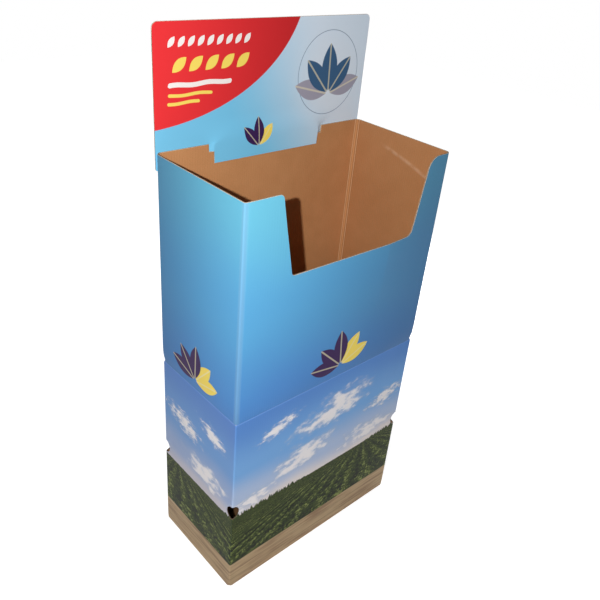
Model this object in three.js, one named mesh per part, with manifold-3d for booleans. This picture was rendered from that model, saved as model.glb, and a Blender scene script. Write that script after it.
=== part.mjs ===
// A cardboard display bin for loose goods. One printed sheet is folded into a tall open sleeve
// with a fold at half height, a cut-out in the front wall and a round hole on each upright corner.
// A flat header card is slotted over the back wall. Inside, a folded tray makes the false floor
// and stands on three panels that are slotted into each other.
// Millimetres, +Z up, +X to the right, the front faces -Y. The origin is the middle of the
// footprint, on the ground.
import * as THREE from "three";
import { mergeVertices } from "three/addons/utils/BufferGeometryUtils.js";
import Module from "manifold-3d";

// Board thicknesses
const sleeveBoard = 3;
const headerBoard = 2;
const insertBoard = 3;

// Clearances
const restGap = 0.3; // between pieces that rest on or lie against each other
const slideGap = 0.8; // between an insert and the walls that it slides down between
const overshoot = 4; // how far a cutter runs past what it cuts

// Sleeve
const binWidth = 600;
const binDepth = 300;
const binHeight = 1090;
const foldHeight = 560; // the fold that lets the bin be doubled over
const foldGrooveWidth = 5;
const foldGrooveDepth = 1;
const upperSpread = 4; // how far the walls stand out above the fold, as the folded sheet eases
const spreadRise = 30; // height above the fold over which they come to stand out
const upperCornerBand = 12; // flat band between the two creases of a corner above the fold
const lowerCornerBand = 3; // the narrower band of a corner below the fold
const cornerHoleRadius = 20;
const cornerHoleHeight = 279;

// Front cut-out, measured in from the corners and down from the rim
const cutoutDepth = 185;
const leftFlangeTop = 93.5;
const leftFlangeBottom = 126;
const rightFlangeTop = 79;
const rightFlangeBottom = 105;
const leftRimRadius = 12;
const rightRimRadius = 34;
const leftSillRadius = 9;
const rightSillRadius = 20;

// The front wall has bulged outwards under the sill, with its peak nearer the right corner
const bulge = 12;
const bulgePeakFromRight = 186;
const bulgeFoot = 250; // how far below the sill the bulge begins
const bulgeLeftAtRim = 0.4; // share of the bulge that is left at the rim

// Header card
const headerInset = 1; // how far each wing ends inside the outer face of the wall beside it
const headerRise = 255; // above the rim of the sleeve
const headerCornerRadius = 13;
const wingDrop = 38; // how far the wings hang down behind the back wall
const wingCornerRadius = 6;
const tabWidth = 315; // the middle tab hangs down inside the back wall
const tabDrop = 45;
const notchWidth = 11.5; // notches in the back wall, where the card passes through it
const notchDepth = 18;
const headerBlend = 60; // height over which the card becomes flat again above the rim

// False floor
const trayBelowFold = 10;
const trayFlange = 60;
const trayCornerNotch = 6;
const shortSupportSpacing = 300; // between the two panels that run from front to back

// Places that follow from the sizes
const halfWidth = binWidth / 2;
const halfDepth = binDepth / 2;
const rimHalfWidth = halfWidth + upperSpread;
const rimHalfDepth = halfDepth + upperSpread;
const sillHeight = binHeight - cutoutDepth;
const trayTop = foldHeight - trayBelowFold;
const supportHeight = trayTop - insertBoard - restGap;
const notchInner = tabWidth / 2;
const notchOuter = notchInner + notchWidth;

const wasm = await Module();
wasm.setup();

// A closed three.js geometry as a solid that can be joined and cut.
function solidOf(geometry) {
  const bare = geometry.clone();
  bare.deleteAttribute("normal");
  bare.deleteAttribute("uv");
  const merged = mergeVertices(bare, 1e-4);
  return new wasm.Manifold(
    new wasm.Mesh({
      numProp: 3,
      vertProperties: merged.attributes.position.array,
      triVerts: new Uint32Array(merged.index.array),
    }),
  );
}

// A solid as a three.js geometry with flat-shaded faces.
function geometryOf(solid) {
  const mesh = solid.getMesh();
  const positions = new Float32Array(mesh.numVert * 3);
  for (let i = 0; i < mesh.numVert; i++) {
    const start = i * mesh.numProp;
    positions.set(mesh.vertProperties.subarray(start, start + 3), i * 3);
  }
  const geometry = new THREE.BufferGeometry();
  geometry.setAttribute("position", new THREE.BufferAttribute(positions, 3));
  geometry.setIndex(new THREE.BufferAttribute(mesh.triVerts, 1));
  const flat = geometry.toNonIndexed();
  flat.computeVertexNormals();
  return flat;
}

// A box given by its lowest and highest corners.
function boxBetween(low, high) {
  const size = high.map((value, axis) => value - low[axis]);
  const geometry = new THREE.BoxGeometry(...size);
  geometry.translate(...low.map((value, axis) => value + size[axis] / 2));
  return solidOf(geometry);
}

// An outline drawn in X and Z, made solid between two values of Y.
function slabOf(outline, nearY, farY) {
  const geometry = new THREE.ExtrudeGeometry(outline, {
    depth: farY - nearY,
    bevelEnabled: false,
    curveSegments: 6,
  });
  geometry.rotateX(Math.PI / 2);
  geometry.translate(0, farY, 0);
  return solidOf(geometry);
}

// A closed outline through corner points [x, z, radius], each corner rounded by its own radius.
function roundedOutline(corners) {
  const shape = new THREE.Shape();
  corners.forEach(([x, z, radius], index) => {
    const corner = new THREE.Vector2(x, z);
    const before = new THREE.Vector2(...corners.at(index - 1).slice(0, 2));
    const after = new THREE.Vector2(...corners[(index + 1) % corners.length].slice(0, 2));
    const start = corner.clone().add(before.sub(corner).setLength(radius));
    const end = corner.clone().add(after.sub(corner).setLength(radius));
    if (index === 0) shape.moveTo(start.x, start.y);
    else shape.lineTo(start.x, start.y);
    if (radius > 0) shape.quadraticCurveTo(corner.x, corner.y, end.x, end.y);
  });
  shape.closePath();
  return shape;
}

// Rings of equal length, lowest first, joined into one closed skin with flat ends.
function loft(rings) {
  const count = rings[0].length;
  const positions = rings.flat(2);
  const indices = [];
  for (let level = 0; level + 1 < rings.length; level++) {
    for (let i = 0; i < count; i++) {
      const here = level * count + i;
      const next = level * count + ((i + 1) % count);
      indices.push(here, next, next + count, here, next + count, here + count);
    }
  }
  const flatRing = (ring) => ring.map(([x, y]) => new THREE.Vector2(x, y));
  const topStart = (rings.length - 1) * count;
  for (const [a, b, c] of THREE.ShapeUtils.triangulateShape(flatRing(rings.at(-1)), []))
    indices.push(topStart + a, topStart + b, topStart + c);
  for (const [a, b, c] of THREE.ShapeUtils.triangulateShape(flatRing(rings[0]), []))
    indices.push(c, b, a);
  const geometry = new THREE.BufferGeometry();
  geometry.setAttribute("position", new THREE.Float32BufferAttribute(positions, 3));
  geometry.setIndex(indices);
  return geometry;
}

// How far the front wall stands out at a place: a ridge at the peak that falls to nothing at both
// corners, growing from its foot to the sill and easing again towards the rim.
const bulgePeak = rimHalfWidth - bulgePeakFromRight;
function bulgeAt(x, z) {
  const across =
    x < bulgePeak
      ? (x + rimHalfWidth) / (bulgePeak + rimHalfWidth)
      : (rimHalfWidth - x) / (rimHalfWidth - bulgePeak);
  const growth = THREE.MathUtils.smoothstep(z, sillHeight - bulgeFoot, sillHeight);
  const easing = THREE.MathUtils.smoothstep(z, sillHeight, binHeight);
  return bulge * Math.max(across, 0) * growth * (1 - (1 - bulgeLeftAtRim) * easing);
}

// The outline of the sleeve at one height, offset inwards from its outer face. The fold is a
// groove that the whole board follows, so the inner skin stands in by as much there.
function sleeveRing(z, offset) {
  const groove = Math.max(0, 1 - Math.abs(z - foldHeight) / (foldGrooveWidth / 2));
  const inset = offset + foldGrooveDepth * groove;
  const upper = THREE.MathUtils.clamp((z - foldHeight) / (foldGrooveWidth / 2), 0, 1);
  const band = THREE.MathUtils.lerp(lowerCornerBand, upperCornerBand, upper);
  // A band offset inwards is shorter, and ends in a nearly sharp inside corner.
  const leg = Math.max(band / Math.SQRT2 - offset * (2 - Math.SQRT2), band / 10);
  const spread = upperSpread * THREE.MathUtils.clamp((z - foldHeight) / spreadRise, 0, 1);
  const x = halfWidth + spread - inset;
  const y = halfDepth + spread - inset;
  // Along a corner, as shares of the leg: off one wall, across the band, and onto the next wall.
  const bend = [
    [1.25, 0],
    [0.82, 0.18],
    [0.18, 0.82],
    [0, 1.25],
  ];
  const cornerAt = (signX, signY, startsOnX) =>
    (startsOnX ? bend : bend.toReversed()).map(([alongX, alongY]) => [
      signX * (x - alongX * leg),
      signY * (y - alongY * leg),
      z,
    ]);
  const frontEnds = [-(x - bend[0][0] * leg), bulgePeak, x - bend[0][0] * leg];
  const along = (from, to, steps) =>
    Array.from({ length: steps }, (unused, i) => from + ((to - from) * (i + 1)) / (steps + 1));
  const frontColumns = [
    ...along(frontEnds[0], frontEnds[1], 5),
    frontEnds[1],
    ...along(frontEnds[1], frontEnds[2], 3),
  ];
  const front = frontColumns.map((column) => [column, -y - bulgeAt(column, z), z]);
  return [
    ...cornerAt(-1, -1, false),
    ...front,
    ...cornerAt(1, -1, true),
    ...cornerAt(1, 1, false),
    ...cornerAt(-1, 1, true),
  ];
}

// The folded sheet: outer skin less inner skin, then the cut-out, notches and corner holes.
function makeSleeve() {
  const levels = [
    0,
    foldHeight - foldGrooveWidth / 2,
    foldHeight,
    foldHeight + foldGrooveWidth / 2,
    foldHeight + spreadRise,
    ...[0, 0.25, 0.5, 0.75, 1].map((share) => sillHeight - bulgeFoot * (1 - share)),
    ...[0.33, 0.67, 1].map((share) => sillHeight + cutoutDepth * share),
  ].sort((a, b) => a - b);
  const inner = [...levels];
  inner[0] -= overshoot;
  inner[inner.length - 1] += overshoot;
  let sleeve = solidOf(loft(levels.map((z) => sleeveRing(z, 0))));
  sleeve = sleeve.subtract(solidOf(loft(inner.map((z) => sleeveRing(z, sleeveBoard)))));

  // Front cut-out, with the rim corners of both flanges rounded towards it.
  const rim = binHeight;
  const frontNear = -rimHalfDepth - bulge - overshoot;
  const frontFar = -rimHalfDepth + sleeveBoard + overshoot;
  const opening = roundedOutline([
    [-rimHalfWidth + leftFlangeBottom, sillHeight, leftSillRadius],
    [rimHalfWidth - rightFlangeBottom, sillHeight, rightSillRadius],
    [rimHalfWidth - rightFlangeTop, rim + overshoot, 0],
    [-rimHalfWidth + leftFlangeTop, rim + overshoot, 0],
  ]);
  sleeve = sleeve.subtract(slabOf(opening, frontNear, frontFar));
  const rimCorner = (edgeX, direction, radius) => {
    const start = edgeX - direction * overshoot;
    const shape = new THREE.Shape();
    shape.moveTo(start, rim + overshoot);
    shape.lineTo(start, rim - radius);
    shape.lineTo(edgeX, rim - radius);
    shape.quadraticCurveTo(edgeX, rim, edgeX + direction * radius, rim);
    shape.lineTo(edgeX + direction * radius, rim + overshoot);
    shape.closePath();
    return slabOf(shape, frontNear, frontFar);
  };
  sleeve = sleeve.subtract(rimCorner(-rimHalfWidth + leftFlangeTop, -1, leftRimRadius));
  sleeve = sleeve.subtract(rimCorner(rimHalfWidth - rightFlangeTop, 1, rightRimRadius));

  // Notches in the back wall for the header card.
  for (const side of [-1, 1]) {
    const edges = [side * notchInner, side * notchOuter].sort((a, b) => a - b);
    const low = [edges[0], rimHalfDepth - sleeveBoard - overshoot, binHeight - notchDepth];
    const high = [edges[1], rimHalfDepth + overshoot, binHeight + overshoot];
    sleeve = sleeve.subtract(boxBetween(low, high));
  }

  // A round hole punched over each corner crease: half of it lies in each wall.
  const reach = sleeveBoard + overshoot;
  for (const signX of [-1, 1]) {
    for (const signY of [-1, 1]) {
      const alongY = new THREE.CylinderGeometry(cornerHoleRadius, cornerHoleRadius, 2 * reach, 40);
      alongY.translate(signX * halfWidth, 0, 0);
      alongY.translate(0, signY * (halfDepth + overshoot), cornerHoleHeight);
      const alongX = new THREE.CylinderGeometry(cornerHoleRadius, cornerHoleRadius, 2 * reach, 40);
      alongX.rotateZ(Math.PI / 2);
      alongX.translate(signX * (halfWidth + overshoot), signY * halfDepth, cornerHoleHeight);
      sleeve = sleeve.subtract(solidOf(alongY)).subtract(solidOf(alongX));
    }
  }
  return geometryOf(sleeve);
}

// The card passes through the notches: its tab lies inside the back wall and its wings behind it.
// Above the rim it eases back to one plane.
function headerMiddle(x, z) {
  const behind = rimHalfDepth + restGap + headerBoard / 2;
  const inside = rimHalfDepth - sleeveBoard - restGap - headerBoard / 2;
  const inTab = 1 - THREE.MathUtils.clamp((Math.abs(x) - notchInner) / notchWidth, 0, 1);
  const low = 1 - THREE.MathUtils.smoothstep(z, binHeight + restGap, binHeight + headerBlend);
  return THREE.MathUtils.lerp(behind, inside, inTab * low);
}

function makeHeader() {
  const halfHeader = rimHalfWidth - headerInset;
  const top = binHeight + headerRise;
  const slitTop = binHeight - notchDepth + restGap;
  const share = (from, to, steps) =>
    Array.from({ length: steps }, (unused, i) => from + ((to - from) * (i + 1)) / steps);
  const columns = [
    -halfHeader - overshoot,
    ...share(-notchOuter, -notchInner, 4).toSpliced(0, 0, -notchOuter),
    ...share(-notchInner, notchInner, 6),
    ...share(notchInner, notchOuter, 4),
    halfHeader + overshoot,
  ];
  const rows = [
    binHeight - tabDrop - overshoot,
    binHeight + restGap,
    ...share(binHeight + restGap, binHeight + headerBlend, 6),
    top + overshoot,
  ];
  // One skin of the card, seen from the front, then the other, and the rim that joins them.
  const positions = [];
  for (const side of [-1, 1])
    for (const z of rows)
      for (const x of columns)
        positions.push(x, headerMiddle(x, z) + (side * headerBoard) / 2, z);
  const wide = columns.length;
  const back = wide * rows.length;
  const indices = [];
  const quad = (a, b, c, d) => indices.push(a, b, c, a, c, d);
  for (let row = 0; row + 1 < rows.length; row++)
    for (let column = 0; column + 1 < wide; column++) {
      const at = row * wide + column;
      quad(at, at + 1, at + wide + 1, at + wide);
      quad(back + at + wide, back + at + wide + 1, back + at + 1, back + at);
    }
  const last = back - wide;
  for (let column = 0; column + 1 < wide; column++) {
    quad(column + 1, column, back + column, back + column + 1);
    quad(last + column, last + column + 1, back + last + column + 1, back + last + column);
  }
  for (let row = 0; row + 1 < rows.length; row++) {
    const left = row * wide;
    const right = left + wide - 1;
    quad(left, left + wide, back + left + wide, back + left);
    quad(right + wide, right, back + right, back + right + wide);
  }
  const sheet = new THREE.BufferGeometry();
  sheet.setAttribute("position", new THREE.Float32BufferAttribute(positions, 3));
  sheet.setIndex(indices);

  const wingBottom = binHeight - wingDrop;
  const tabBottom = binHeight - tabDrop;
  const outline = roundedOutline([
    [-halfHeader, wingBottom, wingCornerRadius],
    [-notchOuter, wingBottom, 0],
    [-notchOuter, slitTop, 0],
    [-notchInner, slitTop, 0],
    [-notchInner, tabBottom, 0],
    [notchInner, tabBottom, 0],
    [notchInner, slitTop, 0],
    [notchOuter, slitTop, 0],
    [notchOuter, wingBottom, 0],
    [halfHeader, wingBottom, wingCornerRadius],
    [halfHeader, top, headerCornerRadius],
    [-halfHeader, top, headerCornerRadius],
  ]);
  const near = rimHalfDepth - sleeveBoard - headerBoard - overshoot;
  const far = rimHalfDepth + headerBoard + overshoot;
  return geometryOf(solidOf(sheet).intersect(slabOf(outline, near, far)));
}

// The tray is one sheet with its four edges folded down and its corners cut out.
function makeTray() {
  const x = halfWidth - sleeveBoard - slideGap;
  const y = halfDepth - sleeveBoard - slideGap;
  const shortX = x - trayCornerNotch;
  const shortY = y - trayCornerNotch;
  const foot = -trayFlange;
  const wall = insertBoard;
  return geometryOf(
    boxBetween([-x, -shortY, -wall], [x, shortY, 0])
      .add(boxBetween([-shortX, -y, -wall], [shortX, y, 0]))
      .add(boxBetween([-x, -shortY, foot], [-x + wall, shortY, 0]))
      .add(boxBetween([x - wall, -shortY, foot], [x, shortY, 0]))
      .add(boxBetween([-shortX, -y, foot], [shortX, -y + wall, 0]))
      .add(boxBetween([-shortX, y - wall, foot], [shortX, y, 0])),
  );
}

// An upright panel in the XZ plane with slots to half its height, from its top or its foot.
function makeSupport(width, slotPlaces, slotsFromTop) {
  const half = width / 2;
  const slot = insertBoard / 2 + restGap;
  const slotEnd = supportHeight / 2 + (slotsFromTop ? -restGap : restGap) / 2;
  const [edge, farEdge] = slotsFromTop ? [supportHeight, 0] : [0, supportHeight];
  const shape = new THREE.Shape();
  shape.moveTo(-half, edge);
  for (const place of slotPlaces) {
    shape.lineTo(place - slot, edge);
    shape.lineTo(place - slot, slotEnd);
    shape.lineTo(place + slot, slotEnd);
    shape.lineTo(place + slot, edge);
  }
  shape.lineTo(half, edge);
  shape.lineTo(half, farEdge);
  shape.lineTo(-half, farEdge);
  shape.closePath();
  const geometry = new THREE.ExtrudeGeometry(shape, { depth: insertBoard, bevelEnabled: false });
  geometry.rotateX(Math.PI / 2);
  geometry.translate(0, insertBoard / 2, 0);
  return geometry;
}

function place(parent, name, geometry, material) {
  const mesh = new THREE.Mesh(geometry, new THREE.MeshStandardMaterial(material));
  mesh.name = name;
  parent.add(mesh);
  return mesh;
}

const printedBoard = { color: "#4f93c4", roughness: 0.55, metalness: 0 };
const headerPrint = { color: "#8cc2e6", roughness: 0.5, metalness: 0 };
const kraftBoard = { color: "#a87850", roughness: 0.85, metalness: 0 };

const bin = new THREE.Group();
place(bin, "bin_sleeve", makeSleeve(), printedBoard);
place(bin, "header_card", makeHeader(), headerPrint);

const falseFloor = new THREE.Group();
bin.add(falseFloor);
place(falseFloor, "floor_tray", makeTray(), kraftBoard).position.z = trayTop;

// The panels stand inside the tray's folded edges. The long one is slotted from its top, and the
// two short ones from their foot.
const wallGap = sleeveBoard + slideGap + insertBoard + restGap;
const shortPlaces = [-shortSupportSpacing / 2, shortSupportSpacing / 2];
const longPanel = makeSupport(binWidth - 2 * wallGap, shortPlaces, true);
place(falseFloor, "long_support", longPanel, kraftBoard);
for (const [name, x] of [
  ["short_support_left", shortPlaces[0]],
  ["short_support_right", shortPlaces[1]],
]) {
  const panel = place(
    falseFloor,
    name,
    makeSupport(binDepth - 2 * wallGap, [0], false),
    kraftBoard,
  );
  panel.position.x = x;
  panel.rotation.z = Math.PI / 2;
}

export default bin;
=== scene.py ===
"""Looks of a cardboard display bin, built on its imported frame.

The bin is a folded printed sleeve with a header card slotted over its back wall and a kraft
false floor inside. Lengths are metres, +Z is up and the front faces -Y.

Each board is a grid of columns and rows with a skin on either side. The sleeve's columns run once
round the bin from its back left corner, and its rows run up it. Where cells are left out, or the
grid ends, the two skins are joined by a cut edge.
"""

import math
from collections import namedtuple

import bpy
import numpy as np
from bpy.props import FloatProperty, FloatVectorProperty, PointerProperty
from mathutils import Matrix, Vector


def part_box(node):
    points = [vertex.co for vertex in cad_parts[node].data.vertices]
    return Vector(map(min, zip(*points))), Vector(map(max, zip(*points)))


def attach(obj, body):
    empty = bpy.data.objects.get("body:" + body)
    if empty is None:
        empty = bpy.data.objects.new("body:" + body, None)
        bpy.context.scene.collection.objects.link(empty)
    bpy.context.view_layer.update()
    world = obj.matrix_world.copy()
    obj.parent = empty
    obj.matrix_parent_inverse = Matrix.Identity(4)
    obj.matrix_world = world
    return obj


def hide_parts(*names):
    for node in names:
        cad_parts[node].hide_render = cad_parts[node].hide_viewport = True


bl_info = {
    "name": "Cardboard display bin",
    "version": (1, 0, 0),
    "blender": (4, 5, 0),
    "location": "View3D > Sidebar > Display bin",
    "description": "Builds a printed cardboard display bin with a header card and a false floor",
    "category": "Add Mesh",
}

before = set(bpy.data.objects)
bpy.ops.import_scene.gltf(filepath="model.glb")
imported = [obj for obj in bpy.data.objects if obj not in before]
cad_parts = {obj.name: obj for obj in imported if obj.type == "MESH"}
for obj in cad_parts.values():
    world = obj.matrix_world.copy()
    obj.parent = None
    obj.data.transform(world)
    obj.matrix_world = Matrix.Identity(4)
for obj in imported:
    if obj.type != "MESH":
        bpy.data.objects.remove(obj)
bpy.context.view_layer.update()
_, sleeve_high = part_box("bin_sleeve")
header_low, header_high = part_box("header_card")

MM = 0.001


def hex_colour(text):
    """A colour written as six hexadecimal digits, as linear red, green, blue and alpha."""
    shares = [int(text[i : i + 2], 16) / 255 for i in (0, 2, 4)]
    linear = [s / 12.92 if s <= 0.04045 else ((s + 0.055) / 1.055) ** 2.4 for s in shares]
    return (*linear, 1.0)


def length(name, default, description):
    return FloatProperty(
        name=name, description=description, default=default, min=0.0, unit="LENGTH", precision=4
    )


def colour(name, text, description):
    return FloatVectorProperty(
        name=name,
        description=description,
        default=hex_colour(text),
        subtype="COLOR",
        size=4,
        min=0.0,
        max=1.0,
    )


class SleeveSizes(bpy.types.PropertyGroup):
    """Sizes of the folded sleeve."""

    width: length("Width", 0.6, "Outside, from left to right, below the fold")
    depth: length("Depth", 0.3, "Outside, from front to back, below the fold")
    height: length("Height", sleeve_high[2], "From the ground to the rim")
    spread: length("Spread", sleeve_high[0] - 0.3, "How far the walls stand out above the fold")
    spread_rise: length("Spread rise", 0.03, "Height over which the walls come to stand out")
    board: length("Board", 0.003, "Thickness of the board")
    fold_height: length("Fold height", 0.56, "Height of the fold that runs all round")
    fold_groove: length("Fold groove", 0.0012, "Depth of the groove at the fold")
    upper_band: length("Upper corner band", 0.012, "Between the two creases of an upper corner")
    near_leg: length("Near corner leg", 0.0018, "Left leg of the front left corner, folded harder")
    lower_band: length("Lower corner band", 0.003, "Band of a corner below the fold")
    hole_radius: length("Hole radius", 0.02, "Radius of the holes on the corners")
    hole_height: length("Hole height", 0.279, "Height of the holes' centres")
    cutout_depth: length("Cut-out depth", 0.185, "From the rim down to the sill")
    left_flange_top: length("Left flange at rim", 0.0895, "Front wall left of the cut-out")
    left_flange_foot: length("Left flange at sill", 0.122, "Front wall left of the cut-out")
    right_flange_top: length("Right flange at rim", 0.075, "Front wall right of the cut-out")
    right_flange_foot: length("Right flange at sill", 0.101, "Front wall right of the cut-out")
    left_rim_radius: length("Left rim radius", 0.012, "Rounding of the left flange's corner")
    right_rim_radius: length("Right rim radius", 0.034, "Rounding of the right flange's corner")
    left_sill_radius: length("Left sill radius", 0.009, "Rounding at the sill's left end")
    right_sill_radius: length("Right sill radius", 0.020, "Rounding at the sill's right end")
    bulge: length("Bulge", 0.012, "How far the front wall stands out under the sill")
    bulge_from_right: length("Bulge place", 0.182, "From the right corner to the bulge's ridge")
    bulge_foot: length("Bulge height", 0.25, "From the sill down to where the bulge begins")
    dent: length("Dent", 0.0016, "Depth of the slanting dent in the right wall")
    corner_crush: length("Corner crush", 0.006, "How far the front left foot is rounded off")


class HeaderSizes(bpy.types.PropertyGroup):
    """Sizes of the header card and of the notches that it passes through."""

    width: length("Width", header_high[0] - header_low[0], "From wing to wing")
    top: length("Top", header_high[2], "Height of the card's top edge")
    board: length("Board", 0.002, "Thickness of the card")
    gap: length("Gap", 0.0003, "Between the card and the sleeve")
    wing_drop: length("Wing drop", 0.041, "How far the wings hang below the rim")
    tab_drop: length("Tab drop", 0.045, "How far the tab hangs below the rim")
    tab_width: length("Tab width", 0.315, "Width of the tab inside the back wall")
    notch_width: length("Notch width", 0.0115, "Width of the notches in the back wall")
    notch_depth: length("Notch depth", 0.018, "Depth of the notches in the back wall")
    corner_radius: length("Corner radius", 0.013, "Rounding of the top corners")
    wing_radius: length("Wing radius", 0.006, "Rounding of the wings' lower corners")
    blend: length("Blend", 0.06, "Height over which the card eases back to one plane")


class BinColours(bpy.types.PropertyGroup):
    """Colours of the print and of the board, and of painted shade and highlights on them."""

    upper_top: colour("Upper print, top", "6DC0DB", "Print at the rim")
    upper_middle: colour("Upper print, middle", "60AEE0", "Print half-way from rim to fold")
    upper_foot: colour("Upper print, foot", "5793DA", "Print just above the fold")
    # Painted shade: print darkened away from the near corner, where less light falls
    upper_far_painted_shade: colour("Upper print, far", "466E9B", "Print far from the near corner")
    sky_top: colour("Sky, top", "5E90D6", "Sky just under the fold")
    sky_middle: colour("Sky, middle", "7EB2EA", "Sky between the fold and the horizon")
    haze: colour("Haze", "F4E9E6", "Sky at the horizon")
    cloud: colour("Cloud", "FFFAFA", "Clouds")
    leaf_dark: colour("Field, dark", "151A0D", "Furrows")
    leaf_middle: colour("Field, middle", "3F4A1C", "Leaves in half light")
    leaf_light: colour("Field, light", "8A9450", "Leaves in full light")
    band_dark: colour("Band, dark", "A08264", "Dark grain of the band at the foot")
    band_light: colour("Band, light", "D8C29C", "Light grain of the band at the foot")
    card_blue: colour("Card, blue", "7CCBF0", "Blue field of the header card")
    card_pale: colour("Card, pale", "E3F1FF", "Pale end of the header card")
    # Painted shade that dulls the print on the upper corners' bands
    crease: colour("Crease", "7CA9CC", "Print dulled by the creases of the upper corners")
    red: colour("Red", "F0383C", "Red field of the header card")
    yellow: colour("Yellow", "FFE36A", "Yellow shapes")
    white: colour("White", "FDF6F2", "White shapes and glow")
    plum: colour("Plum", "3B2352", "Dark leaves")
    slate: colour("Slate", "3F6388", "Blue-grey leaves")
    pewter: colour("Pewter", "A9A6B6", "Pale grey leaves")
    kraft_light: colour("Kraft, light", "D49A6A", "Light fibres of the bare board")
    kraft_dark: colour("Kraft, dark", "B98152", "Dark fibres of the bare board")
    # Painted shade on the right wall's inside
    kraft_painted_shade: colour("Kraft, shade", "8F5F3C", "Tone of the right wall's inside")
    # Painted shade: the false floor's board is made dark so that the view through the corner holes
    # reads dark
    insert_shaded_light: colour("Inserts, light", "A17A56", "Light fibres of the false floor's board")
    insert_shaded_dark: colour("Inserts, dark", "7C5A3E", "Dark fibres of the false floor's board")
    edge_light: colour("Cut edge, light", "D9C4A8", "Liners seen on a cut edge")
    # Painted shade in the hollows of a cut edge
    edge_hollow_shade: colour("Cut edge, dark", "6E4A2E", "Hollows seen on a cut edge")
    paper: colour("Paper", "E2D3BF", "White paper bared along a cut edge and on worn folds")


class StageSettings(bpy.types.PropertyGroup):
    """Light and floor."""

    lamp_power: FloatProperty(
        name="Lamp power", description="Main lamp", default=23.0, min=0.0, unit="POWER"
    )
    lamp_size: length("Lamp size", 0.02, "Diameter of the main lamp")
    back_lamp_power: FloatProperty(
        name="Back lamp power",
        description="Soft lamp for the sides that the main lamp leaves dark",
        default=26.0,
        min=0.0,
        unit="POWER",
    )
    back_lamp_size: length("Back lamp size", 0.6, "Diameter of the back lamp")
    fill: FloatProperty(
        name="Fill", description="Strength of the even light from all round", default=0.085, min=0.0
    )
    floor_size: length("Floor size", 12.0, "Width of the floor")
    floor_tone: FloatProperty(
        name="Floor tone",
        description="How white the floor is beside the bin, where its shadow lies",
        default=0.62,
        min=0.0,
        max=1.0,
    )


# Shapes

EDGE_ROUNDING = 0.6 * MM  # how far cut edges are softened
SHARP_ANGLE = math.radians(55)  # faces that meet more sharply than this form a cut edge


def relu(x, softness):
    """x where it is positive and nought where it is negative, eased over a softness."""
    return (x + np.sqrt(x * x + softness * softness)) / 2


def smooth(x, low, high):
    """Nought below low, one above high, and 3t^2 - 2t^3 between."""
    t = np.clip((x - low) / (high - low), 0, 1)
    return t * t * (3 - 2 * t)


def arc(centre, radius, start, end, count):
    """Points on a circle, from one angle to another in degrees."""
    angle = np.radians(np.linspace(start, end, count))
    return np.stack([centre[0] + radius * np.cos(angle), centre[1] + radius * np.sin(angle)], 1)


def board_object(name, outer, inner, keep, run, closed, materials):
    """Joins two skins of a board into one closed mesh.

    outer and inner are grids of points (rows, columns, 3); keep says which cells exist. Columns
    run to the right and rows up, seen from the outside. A cell's side that has no neighbour gets a
    cut edge. The UV map holds the run along the board and the height in metres on both skins, and
    the run and the share of the thickness on a cut edge.
    """
    rows, columns = outer.shape[:2]
    count = rows * columns
    index = np.arange(count).reshape(rows, columns)
    run = np.broadcast_to(run, (rows, columns))
    if closed:
        after = np.roll(index, -1, axis=1)
        run_after = np.roll(run, -1, axis=1).copy()
        run_after[:, -1] += closed
        right = np.roll(keep, -1, axis=1)
        left = np.roll(keep, 1, axis=1)
    else:
        after, index = index[:, 1:], index[:, :-1]
        run_after, run = run[:, 1:], run[:, :-1]
        nothing = np.zeros((rows - 1, 1), bool)
        right = np.hstack([keep[:, 1:], nothing])
        left = np.hstack([nothing, keep[:, :-1]])
    nothing = np.zeros((1, keep.shape[1]), bool)
    above = np.vstack([keep[1:], nothing])
    below = np.vstack([nothing, keep[:-1]])

    a, b, c, d = index[:-1], after[:-1], after[1:], index[1:]
    run_a, run_b, run_c, run_d = run[:-1], run_after[:-1], run_after[1:], run[1:]
    points = np.concatenate([outer.reshape(-1, 3), inner.reshape(-1, 3)])
    height = points[:, 2]

    quads, slots, uvs = [], [], []

    def add(mask, corners, runs, slot, skin):
        """Adds the quads of the cells in mask: corners and runs are four grids each."""
        quad = np.stack([grid[mask] for grid in corners], 1)
        across = np.stack([grid[mask] for grid in runs], 1)
        up = height[quad] if skin else (quad >= count).astype(float)
        quads.append(quad)
        slots.append(np.full(len(quad), slot))
        uvs.append(np.stack([across, up], 2))

    n = count
    add(keep, (a, b, c, d), (run_a, run_b, run_c, run_d), 0, True)
    add(keep, (d + n, c + n, b + n, a + n), (run_d, run_c, run_b, run_a), 1, True)
    add(keep & ~below, (a, a + n, b + n, b), (run_a, run_a, run_b, run_b), 2, False)
    add(keep & ~above, (d, c, c + n, d + n), (run_d, run_c, run_c, run_d), 2, False)
    add(keep & ~right, (b, b + n, c + n, c), (run_b, run_b, run_c, run_c), 2, False)
    add(keep & ~left, (a, d, d + n, a + n), (run_a, run_d, run_d, run_a), 2, False)

    quads = np.concatenate(quads)
    used, quads_used = np.unique(quads, return_inverse=True)
    mesh = bpy.data.meshes.new(name)
    mesh.from_pydata(points[used].tolist(), [], quads_used.reshape(quads.shape).tolist())
    for material in materials:
        mesh.materials.append(material)
    mesh.polygons.foreach_set("material_index", np.concatenate(slots).astype(np.int32))
    mesh.polygons.foreach_set("use_smooth", np.ones(len(quads), bool))
    uv_map = mesh.uv_layers.new(name="Board")
    uv_map.data.foreach_set("uv", np.concatenate(uvs).astype(np.float32).ravel())
    mesh.update()
    mesh.set_sharp_from_angle(angle=SHARP_ANGLE)
    made = bpy.data.objects.new(name, mesh)
    bpy.context.scene.collection.objects.link(made)
    bevel = made.modifiers.new("Softened cut edges", "BEVEL")
    bevel.width = EDGE_ROUNDING
    bevel.segments = 2
    bevel.limit_method = "ANGLE"
    bevel.angle_limit = SHARP_ANGLE
    bevel.use_clamp_overlap = False
    bevel.material = len(materials) - 1
    return made


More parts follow.
